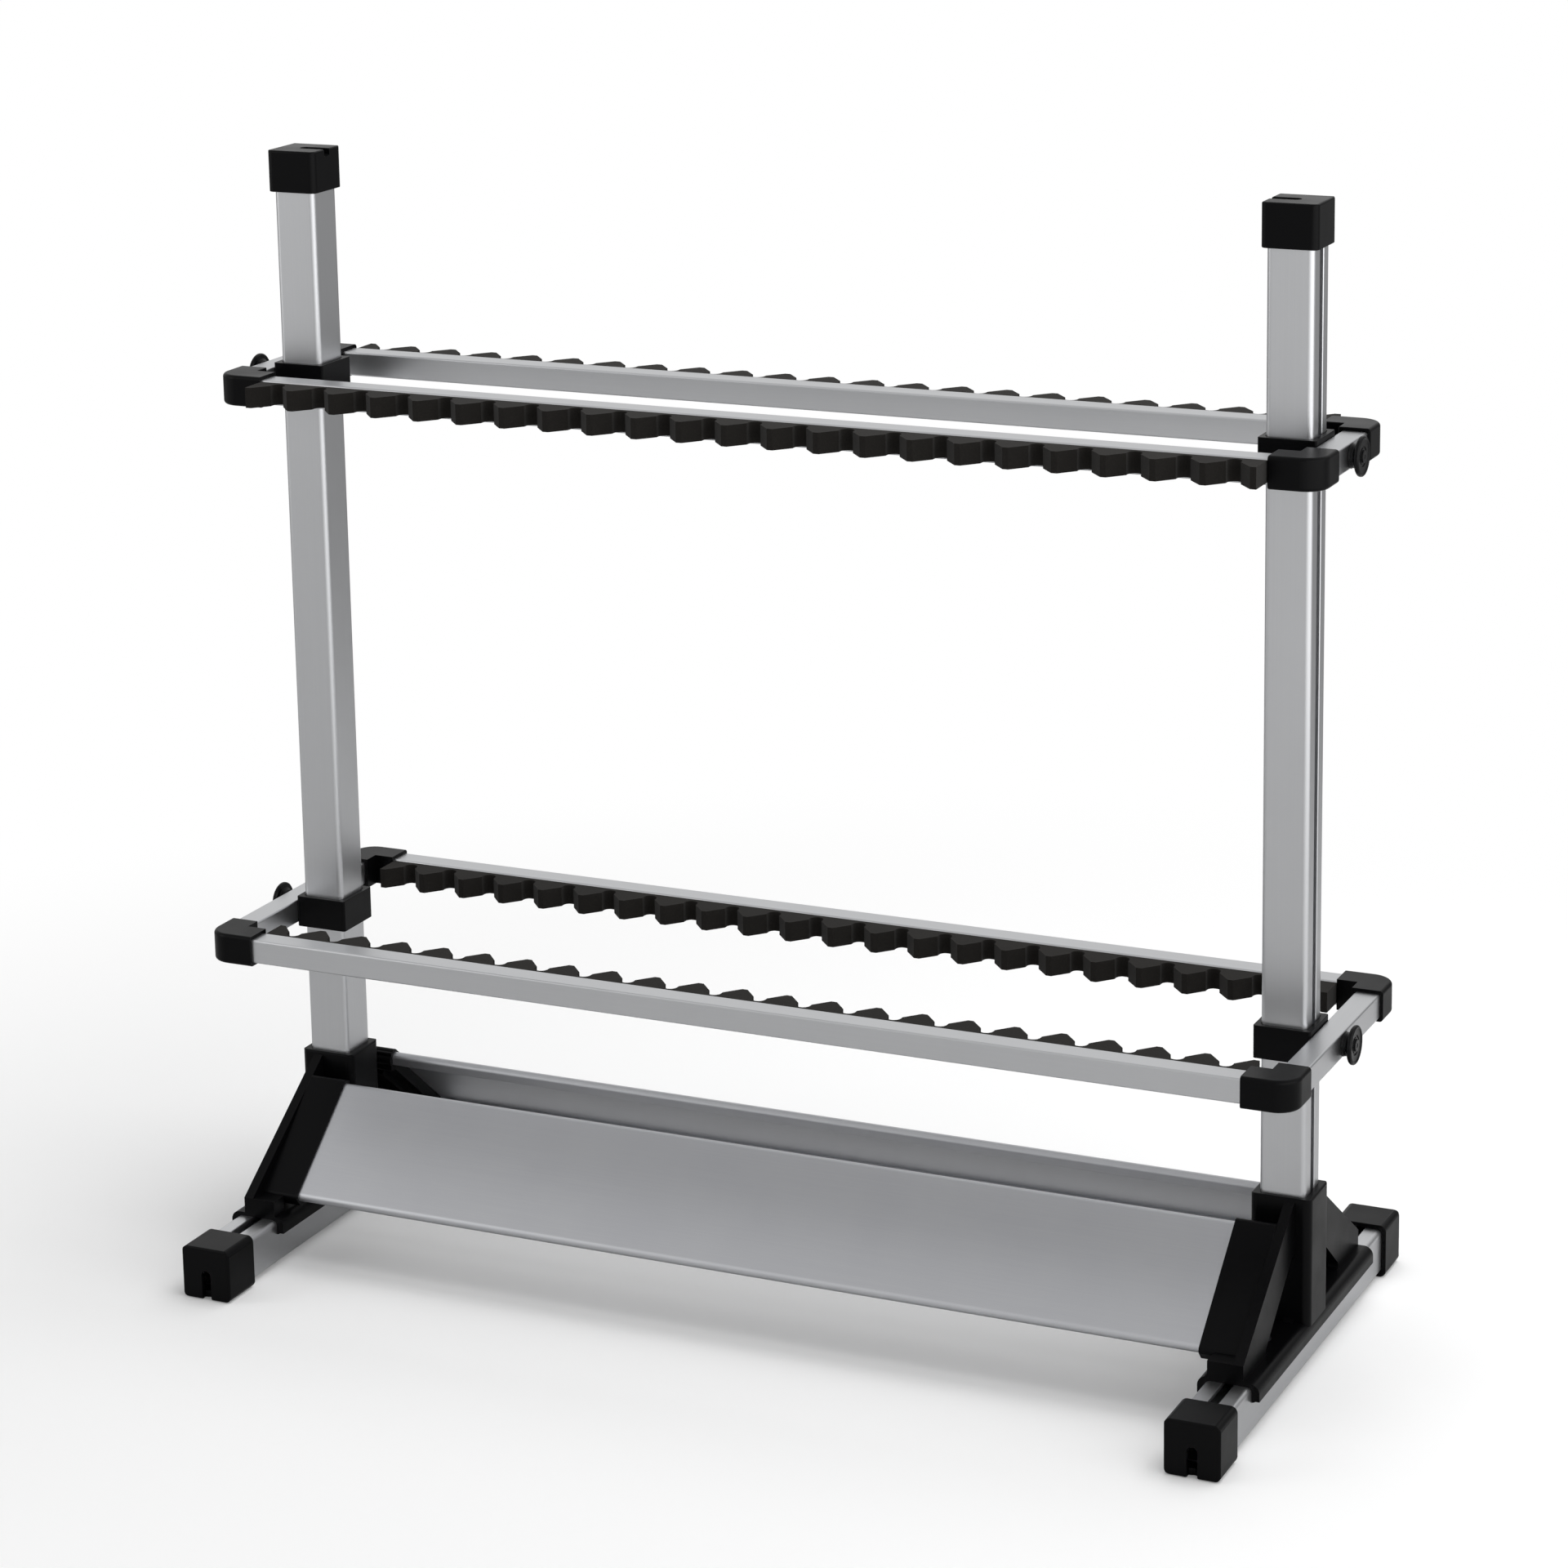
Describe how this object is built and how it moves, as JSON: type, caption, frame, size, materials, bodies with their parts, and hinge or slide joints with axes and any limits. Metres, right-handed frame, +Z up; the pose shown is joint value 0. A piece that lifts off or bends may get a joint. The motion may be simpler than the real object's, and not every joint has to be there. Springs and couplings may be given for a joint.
{
  "type": "fishing rod rack",
  "caption": "Free-standing aluminium rack: slotted posts and feet, sloping butt shelves, and clamped sliding frames with notched foam combs that hold rods upright.",
  "frame": {"origin": "centre of the bounding box's footprint, on the floor", "axes": "+Z up; +X along the rack's width towards the picture's right; -Y towards the front"},
  "size_m": [0.6976, 0.328, 0.67],
  "materials": {
    "slotted_bar": "satin anodised extrusion",
    "frame_tube": "brushed and anodised tube",
    "shelf_plate": "satin anodised plate",
    "bracket_plastic": "fine moulded texture",
    "connector_plastic": "fine moulded texture",
    "collar_plastic": "smooth moulded",
    "knob_plastic": "semi-gloss moulded",
    "eva_foam": "cut closed-cell foam",
    "zinc_steel": "zinc plated",
    "dark_steel": "black oxide"
  },
  "bodies": {
    "rack": {"left_foot_rail": "slotted_bar", "right_foot_rail": "slotted_bar", "left_front_foot_cap": "bracket_plastic", "left_rear_foot_cap": "bracket_plastic", "right_front_foot_cap": "bracket_plastic", "right_rear_foot_cap": "bracket_plastic", "left_base_bracket": "bracket_plastic", "right_base_bracket": "bracket_plastic", "bracket_screws": "dark_steel", "bracket_slot_nuts": "zinc_steel", "post_screws": "dark_steel", "left_post": "slotted_bar", "right_post": "slotted_bar", "left_post_cap": "bracket_plastic", "right_post_cap": "bracket_plastic", "front_shelf": "shelf_plate", "rear_shelf": "shelf_plate", "left_front_shelf_cap": "bracket_plastic", "left_rear_shelf_cap": "bracket_plastic", "right_front_shelf_cap": "bracket_plastic", "right_rear_shelf_cap": "bracket_plastic", "shelf_cap_screws": "dark_steel"},
    "upper_frame": {"upper_front_tube": "frame_tube", "upper_rear_tube": "frame_tube", "upper_left_tube": "frame_tube", "upper_right_tube": "frame_tube", "upper_left_front_connector": "connector_plastic", "upper_left_rear_connector": "connector_plastic", "upper_right_front_connector": "connector_plastic", "upper_right_rear_connector": "connector_plastic", "upper_front_comb": "eva_foam", "upper_rear_comb": "eva_foam", "upper_left_collar": "collar_plastic", "upper_right_collar": "collar_plastic"},
    "lower_frame": {"lower_front_tube": "frame_tube", "lower_rear_tube": "frame_tube", "lower_left_tube": "frame_tube", "lower_right_tube": "frame_tube", "lower_left_front_connector": "connector_plastic", "lower_left_rear_connector": "connector_plastic", "lower_right_front_connector": "connector_plastic", "lower_right_rear_connector": "connector_plastic", "lower_front_comb": "eva_foam", "lower_rear_comb": "eva_foam", "lower_left_collar": "collar_plastic", "lower_right_collar": "collar_plastic"},
    "upper_left_clamp": {"upper_left_knob": "knob_plastic", "upper_left_stud": "zinc_steel"},
    "upper_left_nut": {"upper_left_slot_nut": "zinc_steel"},
    "upper_right_clamp": {"upper_right_knob": "knob_plastic", "upper_right_stud": "zinc_steel"},
    "upper_right_nut": {"upper_right_slot_nut": "zinc_steel"},
    "lower_left_clamp": {"lower_left_knob": "knob_plastic", "lower_left_stud": "zinc_steel"},
    "lower_left_nut": {"lower_left_slot_nut": "zinc_steel"},
    "lower_right_clamp": {"lower_right_knob": "knob_plastic", "lower_right_stud": "zinc_steel"},
    "lower_right_nut": {"lower_right_slot_nut": "zinc_steel"}
  },
  "joints": [
    {"name": "upper_frame_slide", "type": "slide", "parent": "rack", "child": "upper_frame", "axis": [0, 0, 1], "range_m": [-0.15, 0.1035]},
    {"name": "lower_frame_slide", "type": "slide", "parent": "rack", "child": "lower_frame", "axis": [0, 0, 1], "range_m": [-0.08, 0.15]},
    {"name": "upper_left_knob_turn", "type": "hinge", "parent": "upper_frame", "child": "upper_left_clamp", "pos_m": [-0.34, 0, 0.5313], "axis": [-1, 0, 0], "range_deg": [0, 360]},
    {"name": "upper_left_nut_travel", "type": "slide", "parent": "upper_frame", "child": "upper_left_nut", "axis": [1, 0, 0], "range_m": [0, 0.00082]},
    {"name": "upper_right_knob_turn", "type": "hinge", "parent": "upper_frame", "child": "upper_right_clamp", "pos_m": [0.34, 0, 0.5313], "axis": [1, 0, 0], "range_deg": [0, 360]},
    {"name": "upper_right_nut_travel", "type": "slide", "parent": "upper_frame", "child": "upper_right_nut", "axis": [-1, 0, 0], "range_m": [0, 0.00082]},
    {"name": "lower_left_knob_turn", "type": "hinge", "parent": "lower_frame", "child": "lower_left_clamp", "pos_m": [-0.34, 0, 0.1955], "axis": [-1, 0, 0], "range_deg": [0, 360]},
    {"name": "lower_left_nut_travel", "type": "slide", "parent": "lower_frame", "child": "lower_left_nut", "axis": [1, 0, 0], "range_m": [0, 0.00082]},
    {"name": "lower_right_knob_turn", "type": "hinge", "parent": "lower_frame", "child": "lower_right_clamp", "pos_m": [0.34, 0, 0.1955], "axis": [1, 0, 0], "range_deg": [0, 360]},
    {"name": "lower_right_nut_travel", "type": "slide", "parent": "lower_frame", "child": "lower_right_nut", "axis": [-1, 0, 0], "range_m": [0, 0.00082]}
  ],
  "couplings": [
    {"joint": "upper_left_nut_travel", "follows": "upper_left_knob_turn", "m_per_rad": 0.00012732},
    {"joint": "upper_right_nut_travel", "follows": "upper_right_knob_turn", "m_per_rad": 0.00012732},
    {"joint": "lower_left_nut_travel", "follows": "lower_left_knob_turn", "m_per_rad": 0.00012732},
    {"joint": "lower_right_nut_travel", "follows": "lower_right_knob_turn", "m_per_rad": 0.00012732}
  ]
}
